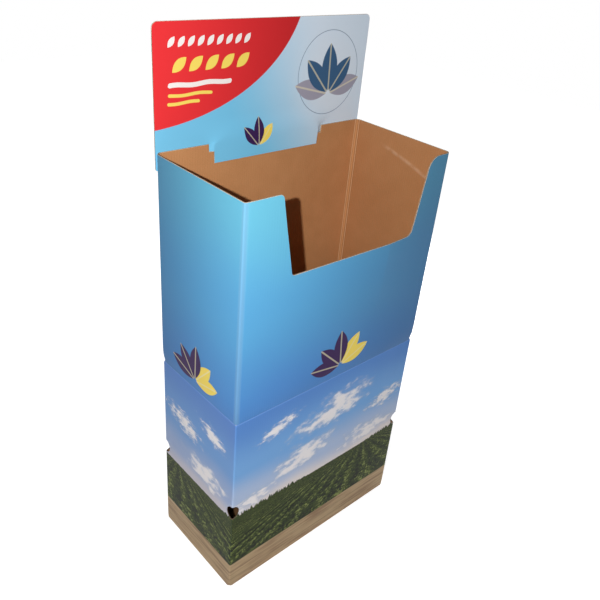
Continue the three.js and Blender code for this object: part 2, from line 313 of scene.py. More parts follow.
# Distances from a corner crease to the columns on either side of it, closer at the creases.
NEAR = MM * np.array(
    [0, 1.2, 2.4, 3.6, 5.0, 6.4, 7.6, 8.5, 9.4, 10.6, 12.5, 16.0, 21.0, 27.0, 34.0]
)
BLOCK = len(NEAR) - 1  # the number of cells from a corner crease to the last of those columns
SLOPE = 1.3 * MM  # how far the sides of the notches, the tab and the wings lean
CLEARANCE = 2 * MM  # an even column closer than this to a fixed one is left out
HOLE_RING = 8  # the ring of cells, counted from a hole's centre, that is bent round into its rim
BACK_LEFT, FRONT_LEFT, FRONT_RIGHT, BACK_RIGHT = range(4)


def front_rim(size):
    """The rim of the front wall from left to right: flange corner, slanted edge and sill, twice."""
    half = size.width / 2
    rim = size.height
    sill = rim - size.cutout_depth
    left_top = -half + size.left_flange_top
    left_foot = -half + size.left_flange_foot
    right_top = half - size.right_flange_top
    right_foot = half - size.right_flange_foot
    r1, r2 = size.left_rim_radius, size.left_sill_radius
    r3, r4 = size.right_sill_radius, size.right_rim_radius

    def slant(start, end):
        share = np.linspace(0, 1, 12)[1:-1, None]
        return np.array(start) * (1 - share) + np.array(end) * share

    return np.concatenate(
        [
            arc((left_top - r1, rim - r1), r1, 90, 8, 7),
            slant((left_top, rim - r1), (left_foot, sill + r2)),
            arc((left_foot + r2, sill + r2), r2, 188, 270, 7),
            arc((right_foot - r3, sill + r3), r3, 270, 352, 7),
            slant((right_foot, sill + r3), (right_top, rim - r4)),
            arc((right_top + r4, rim - r4), r4, 172, 90, 12),
        ]
    )


def back_rim(size, card):
    """The rim of the back wall from left to right, with its two notches."""
    rim, foot = size.height, size.height - card.notch_depth
    inner = card.tab_width / 2
    outer = inner + card.notch_width
    right = [[inner - SLOPE, rim], [inner, foot], [outer, foot], [outer + SLOPE, rim]]
    left = [[-x, z] for x, z in reversed(right)]
    return np.array(left + right)


def columns_between(low, high, count, fixed):
    """Even columns between two places, without those too close to the fixed ones put in."""
    even = np.linspace(low, high, count + 2)[1:-1]
    clear = np.abs(even[:, None] - fixed[None, :]).min(axis=1) > CLEARANCE
    return np.sort(np.concatenate([even[clear], fixed]))


def sleeve_grid(size, card):
    """Corner number, signed distance from its crease and run for each column, with its rim height.

    The walls follow each other from the back left corner: left, front, right and back.
    """
    half = size.width / 2
    # Columns are placed as below the fold. Above it they are stretched with the wall.
    stretch = 1 + size.spread / half
    ridge = (half - size.bulge_from_right) / stretch
    front = front_rim(size) / [stretch, 1]
    front_fixed = np.concatenate([front[:, 0], ridge + MM * np.array([-8, -3, 0, 3, 8])])
    back = back_rim(size, card) / [stretch, 1]
    edge = NEAR[-1]
    side_columns = np.linspace(edge, size.depth - edge, 12)[1:-1]
    front_columns = half + columns_between(edge - half, half - edge, 40, np.sort(front_fixed))
    back_columns = half - columns_between(edge - half, half - edge, 36, back[:, 0])[::-1]
    walls = [
        (BACK_LEFT, FRONT_LEFT, size.depth, side_columns),
        (FRONT_LEFT, FRONT_RIGHT, size.width, front_columns),
        (FRONT_RIGHT, BACK_RIGHT, size.depth, side_columns),
        (BACK_RIGHT, BACK_LEFT, size.width, back_columns),
    ]
    corner, distance, run, rim = [], [], [], []
    start = -size.depth
    for first, second, wide, between in walls:
        along = np.concatenate([NEAR, between, wide - NEAR[:0:-1]])
        nearer_first = along < wide / 2
        corner.append(np.where(nearer_first, first, second))
        distance.append(np.where(nearer_first, along, along - wide))
        run.append(start + along)
        if first == FRONT_LEFT:
            top = np.interp(along - half, front[:, 0], front[:, 1])
        elif first == BACK_RIGHT:
            top = np.interp(half - along, back[:, 0], back[:, 1])
        else:
            top = np.full(len(along), size.height)
        rim.append(top)
        start += wide
    return [np.concatenate(part) for part in (corner, distance, run, rim)]


def sleeve_rows(size):
    """Heights of the rows below the cut-out, closer at the foot, the holes and the fold."""
    foot = MM * np.array([0, 1.5, 4, 8, 14, 25, 45, 75, 110, 150, 190, 220])
    hole = size.hole_height + np.linspace(-1, 1, 2 * BLOCK + 1) * NEAR[-1]
    above_hole = MM * np.array([345, 390, 430, 470, 510])
    offsets = MM * np.array([25, 12, 6, 3.6, 2.2, 1.1])
    fold = size.fold_height + np.concatenate([-offsets, [0], offsets[::-1]])
    above_fold = np.linspace(size.fold_height + 0.05, size.height - size.cutout_depth - 0.05, 9)
    return np.concatenate([foot, hole, above_hole, fold, above_fold])


def bend_round_holes(size, distance, height, keep, rows):
    """Bends the cells near each corner hole so that one ring of them becomes the hole's rim.

    A cell corner on ring m goes from the circle, at the hole's ring, to its own place on the grid,
    at the outermost ring, and shares its direction with that place all the way.
    """
    centre_row = int(np.argmin(np.abs(rows - size.hole_height)))
    offset = np.arange(-BLOCK, BLOCK + 1)
    across, up = np.meshgrid(offset, offset)
    ring = np.maximum(np.maximum(np.abs(across), np.abs(up)), 1)
    side, rise = across / ring, up / ring
    flat = np.abs(side) >= np.abs(rise)
    quarter = math.pi / 4
    circle_across = np.where(flat, side * np.cos(quarter * rise), np.sin(quarter * side))
    circle_up = np.where(flat, np.sin(quarter * rise), rise * np.cos(quarter * side))
    share = np.clip((ring - HOLE_RING) / (BLOCK - HOLE_RING), 0, 1)
    radius = size.hole_radius * np.minimum(ring / HOLE_RING, 1)
    grid_across = np.sign(side) * np.interp(np.abs(side) * BLOCK, np.arange(BLOCK + 1), NEAR)
    grid_up = rise * NEAR[-1]
    new_across = (1 - share) * radius * circle_across + share * grid_across
    new_up = (1 - share) * radius * circle_up + share * grid_up
    total = distance.shape[1]
    creases = np.flatnonzero(distance[0] == 0)
    for crease in creases:
        columns = (crease + offset) % total
        place = np.ix_(centre_row + offset, columns)
        distance[place] = new_across
        height[place] = size.hole_height + new_up
        inside = np.arange(-HOLE_RING, HOLE_RING)
        keep[np.ix_(centre_row + inside, (crease + inside) % total)] = False


FLANGE_EASING = 0.6  # the share of the bulge that has gone at the rim, beside the cut-out
GROOVE_WIDTH = 1.7 * MM  # how far from the fold its groove has mostly gone
CREASE_WIDTH = 1.2 * MM  # the same for the two creases of an upper corner
OUTER_CREASE, INNER_CREASE = 0.1 * MM, 0.5 * MM  # their depths on the two faces of the board
DENT_WIDTH = 7 * MM  # how far from its line the dent in the right wall has mostly gone
DENT_HEIGHT, DENT_SLOPE, DENT_CURVE = 1.0375, 0.245, -0.55  # its line, over the way from mid-wall


CORNER_CHANGE = (-1 * MM, 4 * MM)  # heights about the fold between which the corners widen
CREASE_EASING = 1.1 * MM  # softness of a corner's creases below the fold, and twice that above
CRUSH_HEIGHT = 7 * MM  # height at which the crush at a corner's foot has mostly gone


def spread_at(size, z):
    """How far the walls stand out at a height: nothing up to the fold, then a quick rise."""
    return size.spread * np.clip((z - size.fold_height) / size.spread_rise, 0, 1)


def bulge_at(size, x, z):
    """How far the front wall stands out: a ridge that falls to nothing at both corners."""
    half = size.width / 2
    ridge = half - size.bulge_from_right
    sill = size.height - size.cutout_depth
    left = (x + half) / (ridge + half)
    right = (half - x) / (half - ridge)
    across = np.clip(np.minimum(left, right), 0, 1)
    growth = smooth(z, sill - size.bulge_foot, sill)
    easing = smooth(z, sill, size.height)
    return size.bulge * across * growth * (1 - FLANGE_EASING * easing)


def sleeve_skin(size, corner, distance, z, depth):
    """Points of one skin of the sleeve, at a depth below its outer face.

    Round a corner the outline goes off one wall, across a flat band and onto the next wall. With d
    the distance from the corner's crease along the sheet, L the band's leg and R an eased ramp,
    the distances from the corner along the two walls are [R(-d - L) + R(L - d)] / 2 and
    [R(d - L) + R(L + d)] / 2. Where the band's legs differ, the halves become the legs' shares.
    """
    half_x, half_y = size.width / 2, size.depth / 2
    signs = np.array([[-1, 1], [-1, -1], [1, -1], [1, 1]])
    corners = signs * [half_x, half_y]
    before = np.array([[1, 0], [0, 1], [-1, 0], [0, -1]])  # from a corner, along the wall before it
    after = np.array([[0, -1], [1, 0], [0, 1], [-1, 0]])  # and along the wall after it
    upper = smooth(z - size.fold_height, *CORNER_CHANGE)
    near = corner == FRONT_LEFT
    upper_leg = size.upper_band / math.sqrt(2)
    lower_leg = size.lower_band / math.sqrt(2)
    crushed = np.where(near, 1.0, 0.3) * size.corner_crush * np.exp(-z / CRUSH_HEIGHT)
    leg_before = lower_leg + (np.where(near, size.near_leg, upper_leg) - lower_leg) * upper
    leg_after = lower_leg + (upper_leg - lower_leg) * upper

    def on_skin(leg):
        leg = leg + crushed
        return np.maximum(leg - depth * (2 - math.sqrt(2)), leg * 0.15)

    leg_before, leg_after = on_skin(leg_before), on_skin(leg_after)
    # A skin further in is shorter: the distance is squeezed within the corner's own columns. Where
    # the walls stand out they are longer: the distance is stretched evenly up to mid-wall.
    squeeze = np.minimum(np.abs(distance) / NEAR[-1], 1) * depth
    on_wide_wall = (corner % 2 == 1) == (distance > 0)
    stretch = spread_at(size, z) / np.where(on_wide_wall, half_x, half_y)
    d = distance * (1 + stretch) - np.sign(distance) * squeeze
    softness = CREASE_EASING * (1 + upper)
    share = leg_before / (leg_before + leg_after)
    first = (1 - share) * relu(-d - leg_before, softness) + share * relu(leg_after - d, softness)
    second = share * relu(d - leg_after, softness) + (1 - share) * relu(leg_before + d, softness)
    groove = size.fold_groove * np.exp(-(((z - size.fold_height) / GROOVE_WIDTH) ** 2))
    crease = INNER_CREASE if depth > 0 else OUTER_CREASE
    to_crease = np.minimum(np.abs(d + leg_before), np.abs(d - leg_after))
    crease = crease * upper * np.exp(-((to_crease / CREASE_WIDTH) ** 2))
    inset = depth + groove + crease - spread_at(size, z)
    out = corners[corner] + inset[..., None] * (before + after)[corner]
    out = out + first[..., None] * before[corner] + second[..., None] * after[corner]
    x, y = out[..., 0], out[..., 1]

    on_front = ((corner == FRONT_LEFT) & (distance > 0)) | ((corner == FRONT_RIGHT) & (distance < 0))
    y = y - np.where(on_front, bulge_at(size, x, z), 0)
    # A slanting dent pushed into the right wall
    on_right = ((corner == FRONT_RIGHT) & (distance > 0)) | ((corner == BACK_RIGHT) & (distance < 0))
    line = DENT_HEIGHT + DENT_SLOPE * y + DENT_CURVE * y * y
    fade = smooth(y, -0.125, -0.06) * (1 - smooth(y, 0.01, 0.08))
    dent = size.dent * np.exp(-(((z - line) / DENT_WIDTH) ** 2)) * fade
    x = x - np.where(on_right, dent, 0)
    return np.stack([x, y, z], axis=-1)


def make_sleeve(size, card, materials):
    """The folded sheet: its grid, the holes bent into it, and its two skins."""
    corner, column_distance, run, rim = sleeve_grid(size, card)
    low_rows = sleeve_rows(size)
    top_share = np.linspace(0, 1, 27)[1:]
    base = low_rows[-1]
    low = np.repeat(low_rows[:, None], len(run), axis=1)
    high = base + (rim[None, :] - base) * top_share[:, None]
    height = np.concatenate([low, high])
    distance = np.repeat(column_distance[None, :], len(height), axis=0).copy()
    keep = np.ones((len(height) - 1, len(run)), bool)
    bend_round_holes(size, distance, height, keep, low_rows)
    around = np.broadcast_to(corner, distance.shape)
    outer = sleeve_skin(size, around, distance, height, 0.0)
    inner = sleeve_skin(size, around, distance, height, size.board)
    shift = distance - column_distance[None, :]
    whole = 2 * (size.width + size.depth)
    return board_object("sleeve", outer, inner, keep, run + shift, whole, materials)


def make_header(size, card, materials):
    """The header card: a flat sheet whose tab is eased forward past the back wall.

    Its mid-plane goes from behind the wall to inside it across each notch, in proportion to the
    way across, and eases back to one plane above the rim.
    """
    half = card.width / 2
    rim = size.height
    wing_foot, tab_foot = rim - card.wing_drop, rim - card.tab_drop
    slit_top = rim - card.notch_depth + card.gap
    inner = card.tab_width / 2
    outer = inner + card.notch_width
    r, w = card.corner_radius, card.wing_radius
    right_top = arc((half - r, card.top - r), r, 90, 0, 9)
    right_foot = arc((half - w, wing_foot + w), w, 270, 360, 7)
    foot = np.concatenate(
        [
            [[0, tab_foot], [inner - SLOPE, tab_foot], [inner, slit_top]],
            [[outer, slit_top], [outer + SLOPE, wing_foot]],
            right_foot,
        ]
    )
    foot = np.concatenate([(foot * [-1, 1])[:0:-1], foot])
    top = np.concatenate([(right_top * [-1, 1])[::-1], right_top])
    beside = MM * np.array([4, 9, 15, 23, 34])
    crossing = np.linspace(inner, outer, 7)[1:-1]
    crossing = np.concatenate([inner - beside, crossing, outer + beside])
    fixed = np.concatenate([foot[:, 0], top[:, 0], crossing, -crossing])
    x = columns_between(-half, half, 44, np.unique(np.round(fixed, 6)))
    x_top = np.interp(x, top[:, 0], top[:, 1])
    x_foot = np.interp(x, foot[:, 0], foot[:, 1])
    knee = rim + MM
    low = np.linspace(0, 1, 6)[:, None]
    middle = np.linspace(0, 1, 15)[1:, None] ** 1.7
    high = np.linspace(0, 1, 12)[1:, None]
    bend_top = rim + card.blend
    z = np.concatenate(
        [
            x_foot + (knee - x_foot) * low,
            knee + (bend_top - knee) * np.repeat(middle, len(x), axis=1),
            bend_top + (x_top - bend_top) * high,
        ]
    )
    wall = size.depth / 2 + size.spread
    behind = wall + card.gap + card.board / 2
    inside = wall - size.board - card.gap - card.board / 2
    # Above the rim the crossing widens to both sides, and its ends become round
    above = np.maximum(z - rim, 0)
    widening = 2.2 * above
    crossed = (np.abs(x) - inner + widening) / (card.notch_width + 2 * widening)
    crossed = np.clip(crossed, 0, 1)
    rounding = np.minimum(above / 0.01, 1)
    in_tab = 1 - crossed - rounding * (smooth(crossed, 0, 1) - crossed)
    below = 1 - smooth(z, rim + card.gap, rim + card.blend)
    y = behind + (inside - behind) * in_tab * below
    grid_x = np.broadcast_to(x, z.shape)
    front = np.stack([grid_x, y - card.board / 2, z], -1)
    back = np.stack([grid_x, y + card.board / 2, z], -1)
    keep = np.ones((z.shape[0] - 1, z.shape[1] - 1), bool)
    return board_object("header", front, back, keep, x[None, :], 0, materials)


# Materials

FLUTE = 6.5 * MM  # from one flute of the sleeve's board to the next
CARD_FLUTE = 3.3 * MM  # the same in the header card


class Wires:
    """Adds nodes to one node tree and joins them, so that a pattern reads as a formula."""

    def __init__(self, tree):
        self.tree = tree

    def feed(self, socket, value):
        if isinstance(value, bpy.types.NodeSocket):
            self.tree.links.new(value, socket)
        elif value is not None:
            socket.default_value = value

    def node(self, kind, inputs=None, **settings):
        made = self.tree.nodes.new("ShaderNode" + kind)
        for name, value in settings.items():
            setattr(made, name, value)
        for name, value in (inputs or {}).items():
            self.feed(made.inputs[name], value)
        return made

    def math(self, operation, *values, clamp=False):
        made = self.node("Math", operation=operation, use_clamp=clamp)
        for socket, value in zip(made.inputs, values):
            self.feed(socket, value)
        return made.outputs[0]

    def add(self, first, second):
        return self.math("ADD", first, second)

    def times(self, first, second):
        return self.math("MULTIPLY", first, second)

    def minus(self, first, second):
        return self.math("SUBTRACT", first, second)

    def over(self, first, second):
        return self.math("DIVIDE", first, second)

    def greater(self, first, second):
        return self.math("MAXIMUM", first, second)

    def total(self, *parts):
        """The sum of values times their weights, given as pairs."""
        *others, (value, weight) = parts
        result = self.times(value, weight)
        for value, weight in reversed(others):
            result = self.add(self.times(value, weight), result)
        return result

    def sway(self, noise, amount):
        """A noise brought about nought, over a range of amount."""
        return self.times(self.minus(noise, 0.5), amount)

    def gap(self, first, second):
        """How far two values are apart, either way."""
        return self.math("ABSOLUTE", self.minus(first, second))

    def hypotenuse(self, x, y):
        """The square root of x squared and y squared."""
        return self.math("SQRT", self.add(self.times(x, x), self.times(y, y)))

    def ease(self, value, low, high, start=0.0, end=1.0):
        """start below low, end above high, and a smooth step between."""
        inputs = {"Value": value, "From Min": low, "From Max": high, "To Min": start, "To Max": end}
        return self.node("MapRange", inputs, interpolation_type="SMOOTHSTEP").outputs["Result"]

    def fall(self, value, low, high, strength=1.0):
        """strength below low, eased to nought above high."""
        return self.ease(value, low, high, strength, 0.0)

    def close_to(self, value, centre, near, far, strength=1.0):
        """strength where value lies within near of centre, eased to nought at far from it."""
        return self.fall(self.gap(value, centre), near, far, strength)

    def mix(self, factor, first, second):
        made = self.node("Mix", data_type="RGBA")
        for socket, value in zip([made.inputs[i] for i in (0, 6, 7)], (factor, first, second)):
            self.feed(socket, value)
        return made.outputs[2]

    def ramp(self, factor, *stops):
        """A smooth ramp through stops of (place, colour)."""
        made = self.node("ValToRGB", {"Fac": factor})
        elements = made.color_ramp.elements
        made.color_ramp.interpolation = "EASE"
        for _ in stops[2:]:
            elements.new(1.0)
        for element, (place, value) in zip(elements, stops):
            element.position = place
            element.color = value
        return made.outputs["Color"]

    def split(self, vector):
        return self.node("SeparateXYZ", {"Vector": vector}).outputs

    def join(self, x, y, z=0.0):
        return self.node("CombineXYZ", {"X": x, "Y": y, "Z": z}).outputs[0]

    def noise(self, vector, scale, detail=4.0, roughness=0.5):
        inputs = {"Vector": vector, "Scale": scale, "Detail": detail, "Roughness": roughness}
        return self.node("TexNoise", inputs).outputs["Fac"]

    def group(self, tree, **inputs):
        made = self.node("Group", node_tree=tree)
        for name, value in inputs.items():
            self.feed(made.inputs[name.replace("_", " ").capitalize()], value)
        return made.outputs

    def shape(self, tree, vector, x, y, turn, long, wide, **more):
        """A leaf, bar or cloud with its centre at x and y."""
        centre = {"centre_x": x, "centre_y": y}
        return self.group(tree, vector=vector, turn=turn, length=long, width=wide, **centre, **more)


def new_group(name, inputs, outputs):
    """A shader node group with named sockets.

    inputs gives the kind and default of each, and outputs the kind.
    """
    tree = bpy.data.node_groups.new(name, "ShaderNodeTree")
    for label, (kind, default) in inputs.items():
        socket = tree.interface.new_socket(
            name=label, in_out="INPUT", socket_type="NodeSocket" + kind
        )
        if default is not None:
            socket.default_value = default
    for label, kind in outputs.items():
        tree.interface.new_socket(name=label, in_out="OUTPUT", socket_type="NodeSocket" + kind)
    wires = Wires(tree)
    given = tree.nodes.new("NodeGroupInput").outputs
    result = tree.nodes.new("NodeGroupOutput").inputs
    return tree, wires, given, result


def local_place(w, given):
    """The place within a turned shape: the vector less its centre, turned back, over its size."""
    x, y, _ = w.split(given["Vector"])
    x = w.minus(x, given["Centre x"])
    y = w.minus(y, given["Centre y"])
    cosine, sine = w.math("COSINE", given["Turn"]), w.math("SINE", given["Turn"])
    along = w.add(w.times(x, cosine), w.times(y, sine))
    across = w.minus(w.times(y, cosine), w.times(x, sine))
    return w.over(along, given["Length"]), w.over(across, given["Width"])


SHAPE_INPUTS = {
    "Vector": ("Vector", None),
    "Centre x": ("Float", 0.0),
    "Centre y": ("Float", 0.0),
    "Turn": ("Float", 0.0),
    "Length": ("Float", 0.1),
    "Width": ("Float", 0.03),
}


def leaf_group():
    """A pointed leaf: inside where its half width, 1 - 4t^2 along it, exceeds the way across."""
    tree, w, given, result = new_group(
        "leaf shape", SHAPE_INPUTS, {"Mask": "Float", "Vein": "Float"}
    )
    along, across = local_place(w, given)
    outline = w.minus(1.0, w.times(4.0, w.times(along, along)))
    inside = w.minus(outline, w.math("ABSOLUTE", w.times(2.0, across)))
    w.feed(result["Mask"], w.ease(inside, 0.0, 0.09))
    w.feed(result["Vein"], w.close_to(across, 0.0, 0.025, 0.06))
    return tree


def bar_group():
    """A bar with round ends that waves a little: inside within half its width of its middle line."""
    inputs = {**SHAPE_INPUTS, "Wave": ("Float", 0.0)}
    tree, w, given, result = new_group("waving bar", inputs, {"Mask": "Float"})
    x, y, _ = w.split(given["Vector"])
    x = w.minus(x, given["Centre x"])
    wave = w.times(given["Wave"], w.math("SINE", w.times(x, 75.0)))
    y = w.minus(w.minus(y, given["Centre y"]), wave)
    half_width = w.times(given["Width"], 0.5)
    reach = w.minus(w.times(given["Length"], 0.5), half_width)
    beyond = w.greater(w.minus(w.math("ABSOLUTE", x), reach), 0.0)
    away = w.hypotenuse(beyond, y)
    w.feed(result["Mask"], w.ease(w.minus(half_width, away), 0.0, 0.0012))
    return tree


def cloud_group():
    """A cloud: noise raised inside an ellipse and lowered outside it, then eased into a mask."""
    inputs = {**SHAPE_INPUTS, "Noise": ("Float", 0.5)}
    tree, w, given, result = new_group("cloud", inputs, {"Mask": "Float"})
    along, across = local_place(w, given)
    body = w.minus(0.98, w.times(w.hypotenuse(along, across), 0.98))
    value = w.add(body, w.sway(given["Noise"], 2.3))
    w.feed(result["Mask"], w.ease(value, 0.02, 0.85))
    return tree


def board_group():
    """Kraft board: mottled brown, fibres drawn out along the board, and faint ribs of its flutes."""
    inputs = {
        "Vector": ("Vector", None),
        "Light": ("Color", None),
        "Dark": ("Color", None),
        "Ribs": ("Float", 1.0),
    }
    outputs = {"Colour": "Color", "Roughness": "Float", "Height": "Float"}
    tree, w, given, result = new_group("kraft board", inputs, outputs)
    vector = given["Vector"]
    x, y, z = w.split(vector)
    drawn_out = w.join(w.times(x, 260.0), w.times(y, 900.0), w.times(z, 900.0))
    fibres = w.noise(drawn_out, 1.0, 3.0, 0.6)
    blotches = w.noise(vector, 22.0, 4.0, 0.55)
    clouds = w.noise(vector, 4.0, 2.0)
    rib_wave = w.math("SINE", w.times(x, 2 * math.pi / FLUTE))
    ribs = w.times(rib_wave, given["Ribs"])
    share = w.total((fibres, 0.45), (blotches, 0.2), (clouds, 0.3))
    share = w.add(share, w.times(ribs, 0.012))
    tone = w.mix(w.ease(share, 0.22, 0.75), given["Dark"], given["Light"])
    specks = w.ease(w.noise(vector, 620.0, 1.0), 0.70, 0.76)
    w.feed(result["Colour"], w.mix(w.times(specks, 0.2), tone, hex_colour("7E5636")))
    w.feed(result["Roughness"], w.add(0.78, w.times(fibres, 0.14)))
    w.feed(result["Height"], w.total((fibres, 0.5), (ribs, 0.35)))
    return tree


def rows_group():
    """Rows of a crop seen across a field.

    The way across from the vanishing point over the depth below the horizon is the same all along
    a row, so rows are a sine of it, and leaves are noise on it and on the logarithm of the depth.
    """
    inputs = {
        "Across": ("Float", 0.0),
        "Height": ("Float", 0.0),
        "Vanishing": ("Float", 0.0),
        "Horizon": ("Float", 0.25),
    }
    tree, w, given, result = new_group("crop rows", inputs, {"Shade": "Float", "Far": "Float"})
    depth = w.greater(w.minus(given["Horizon"], given["Height"]), 0.0)
    near = w.add(depth, 0.022)
    ray = w.over(w.minus(given["Across"], given["Vanishing"]), near)
    way = w.math("LOGARITHM", near, math.e)
    place = w.join(ray, w.times(way, 2.2))
    lumps = w.noise(place, 5.5, 5.0, 0.62)
    flat = w.join(given["Across"], w.times(given["Height"], 1.25))
    coarse = w.noise(flat, 110.0, 4.0, 0.6)
    fine = w.noise(flat, 300.0, 3.0, 0.6)
    nearness = w.ease(depth, 0.02, 0.13)
    leaves = w.add(w.times(coarse, nearness), w.times(fine, w.minus(1.0, nearness)))
    stirred = w.join(w.add(ray, w.times(leaves, 0.25)), w.add(w.times(way, 2.0), leaves))
    inputs = {"Vector": stirred, "Scale": 8.5, "Randomness": 1.0}
    plants = w.node("TexVoronoi", inputs, feature="SMOOTH_F1").outputs["Distance"]
    furrow = w.math("SINE", w.add(w.times(ray, 11.0), w.times(lumps, 10.0)))
    bushes = w.minus(w.times(leaves, 1.5), w.times(plants, 0.6))
    shade = w.add(w.times(furrow, 0.13), w.add(w.times(lumps, 0.7), bushes))
    w.feed(result["Shade"], w.minus(shade, 0.36))
    w.feed(result["Far"], w.fall(depth, 0.0, 0.05))
    return tree


def corner_group(size):
    """The way along the sheet to the nearest corner of the sleeve.

    Corners lie at a run of nought and of the width, and repeat after a width and a depth.
    """
    tree, w, given, result = new_group(
        "way to corner", {"Run": ("Float", 0.0)}, {"Distance": "Float"}
    )
    repeat = size.width + size.depth
    wrapped = w.math("FLOORED_MODULO", given["Run"], repeat)
    to_second = w.gap(wrapped, size.width)
    to_next = w.minus(repeat, wrapped)
    w.feed(result["Distance"], w.math("MINIMUM", wrapped, w.math("MINIMUM", to_second, to_next)))
    return tree


def new_material(name):
    """A material with its wires and its Principled shader."""
    material = bpy.data.materials.new(name)
    material.use_nodes = True
    wires = Wires(material.node_tree)
    return material, wires, material.node_tree.nodes["Principled BSDF"]


def finish_material(w, shader, colour_value, roughness, height, distance):
    """Feeds colour, roughness and a bump to the shader, with the weak gloss of paper and ink."""
    w.feed(shader.inputs["Specular IOR Level"], 0.06)
    w.feed(shader.inputs["Base Color"], colour_value)
    w.feed(shader.inputs["Roughness"], roughness)
    bump = w.node("Bump", {"Height": height, "Distance": distance, "Strength": 1.0})
    w.feed(shader.inputs["Normal"], bump.outputs["Normal"])


LOWER_CREASE = 2.2 * MM  # from a corner to either crease inside the sleeve, below the fold
UPPER_CREASE = 7.4 * MM  # the same above the fold


def add_inside_marks(w, groups, colours, size, vector, tone, height):
    """The pale double creases of the sleeve's corners, painted as highlights with painted shade
    beside them, the slanting crease in its right wall, and painted shade over that wall's inside.
    """
    run, up, _ = w.split(vector)
    corner = w.group(groups["corner"], run=run)["Distance"]
    above = w.ease(up, size.fold_height - 2 * MM, size.fold_height + 2 * MM)
    to_crease = w.add(LOWER_CREASE, w.times(above, UPPER_CREASE - LOWER_CREASE))
    away = w.gap(corner, to_crease)
    # Painted highlights: pale lines along the double creases, with painted shade just beside them
    crease = w.fall(away, 0.4 * MM, 1.5 * MM)
    beside = w.close_to(away, 2.8 * MM, 0.0, 1.8 * MM)
    right_end = size.width + size.depth
    y = w.minus(run, size.width + size.depth / 2)
    curve = w.add(w.times(y, DENT_SLOPE), w.times(w.times(y, y), DENT_CURVE))
    ends = w.times(w.ease(y, -0.13, -0.09), w.fall(y, 0.01, 0.07))
    faded = w.ease(w.noise(vector, 45.0, 3.0), 0.35, 0.6, 0.35, 1.0)
    on_line = w.close_to(up, w.add(DENT_HEIGHT, curve), 0.0, 8 * MM)
    mark = w.times(on_line, w.times(ends, faded))
    # Painted shade: the right wall's inside is darkened
    on_right = w.times(
        w.ease(run, size.width - 4 * MM, size.width + 4 * MM),
        w.fall(run, right_end - 4 * MM, right_end),
    )
    tone = w.mix(w.times(on_right, 0.3), tone, colours.kraft_painted_shade)
    # Painted shade beside the creases, then painted highlights along them
    tone = w.mix(w.times(beside, 0.42), tone, hex_colour("8A5B38"))
    tone = w.mix(w.times(crease, 0.75), tone, hex_colour("F3C79C"))
    tone = w.mix(w.times(mark, 0.24), tone, hex_colour("F6D6B6"))
    return tone, w.add(height, w.times(w.add(crease, mark), 1.6))


def kraft_material(name, colours, groups, on_board=True, ribs=1.0, size=None, dark=False):
    """Bare board: on the grid boards it follows their run and height, on the others their place.

    With the sleeve's size given, it also shows the marks of the sleeve's inside, among them painted
    highlights and painted shade.
    The dark one is the false floor's board, made darker as painted shade for what is seen through
    the corner holes.
    """
    material, w, shader = new_material(name)
    if on_board:
        vector = w.node("UVMap", uv_map="Board").outputs[0]
    else:
        vector = w.node("TexCoord").outputs["Object"]
    board = w.group(
        groups["board"],
        vector=vector,
        light=colours.insert_shaded_light if dark else colours.kraft_light,
        dark=colours.insert_shaded_dark if dark else colours.kraft_dark,
        ribs=ribs,
    )
    tone, height = board["Colour"], board["Height"]
    if size:
        tone, height = add_inside_marks(w, groups, colours, size, vector, tone, height)
    finish_material(w, shader, tone, board["Roughness"], height, 0.25 * MM)
    return material


def painted_shade_at_holes(w, tone, hole_height, share):
    """Darkens a tone at the height of the corner holes: painted shade on the holes' cut rims."""
    _, _, z = w.split(w.node("TexCoord").outputs["Object"])
    hole_shade = w.close_to(z, hole_height, 22 * MM, 26 * MM, share)
    return w.mix(hole_shade, tone, hex_colour("3A281C"))


def paper_material(name, colours, hole_height):
    """The white paper of the liner, bared along a cut edge."""
    material, w, shader = new_material(name)
    fibres = w.noise(w.node("TexCoord").outputs["Object"], 500.0, 3.0)
    tone = w.mix(w.ease(fibres, 0.35, 0.65), hex_colour("BFA88C"), colours.paper)
    # Painted shade on the cut rims of the corner holes
    tone = painted_shade_at_holes(w, tone, hole_height, 0.75)
    finish_material(w, shader, tone, 0.7, fibres, 0.1 * MM)
    return material


def edge_material(name, colours, flute, hole_height):
    """A cut edge: a liner at either face and the wave of the flute between them, with painted shade
    in the hollows.
    """
    material, w, shader = new_material(name)
    run, depth, _ = w.split(w.node("UVMap", uv_map="Board").outputs[0])
    wave = w.add(0.5, w.times(0.34, w.math("SINE", w.times(run, 2 * math.pi / flute))))
    on_flute = w.close_to(depth, wave, 0.07, 0.16)
    on_liner = w.ease(w.gap(depth, 0.5), 0.34, 0.42)
    solid = w.greater(on_flute, on_liner)
    fibres = w.noise(w.join(w.times(run, 900.0), w.times(depth, 6.0)), 1.0, 3.0, 0.6)
    light = w.mix(w.times(fibres, 0.5), colours.edge_light, colours.kraft_light)
    # Painted shade in the hollows between the flute and the liners
    tone = w.mix(w.add(0.25, w.times(solid, 0.75)), colours.edge_hollow_shade, light)
    # Painted shade on the cut rims of the corner holes
    tone = painted_shade_at_holes(w, tone, hole_height, 0.9)
    finish_material(w, shader, tone, 0.85, w.add(solid, w.times(fibres, 0.3)), 0.4 * MM)
    return material


LEAF_LENGTH = 75 * MM  # of a leaf of a sprig at scale 1
FAN = [(166, 1.0), (18, 0.95), (132, 1.0), (52, 0.95), (92, 1.05)]  # angles and shares of it


def sprig(w, groups, vector, base, x, y, scale, tones, turn=0.0):
    """Leaves that fan out from one place over a base colour, from the sides to the middle."""
    tone = base
    for (angle, reach), leaf_tone in zip(FAN[-len(tones) :], tones):
        direction = math.radians(angle + turn)
        size = LEAF_LENGTH * scale * reach
        leaf_x = x + math.cos(direction) * size * 0.55
        leaf_y = y + math.sin(direction) * size * 0.55
        leaf = w.shape(groups["leaf"], vector, leaf_x, leaf_y, direction, size, size * 0.46)
        veined = w.mix(w.times(leaf["Vein"], 0.55), leaf_tone, hex_colour("F4EBC8"))
        tone = w.mix(leaf["Mask"], tone, veined)
    return tone


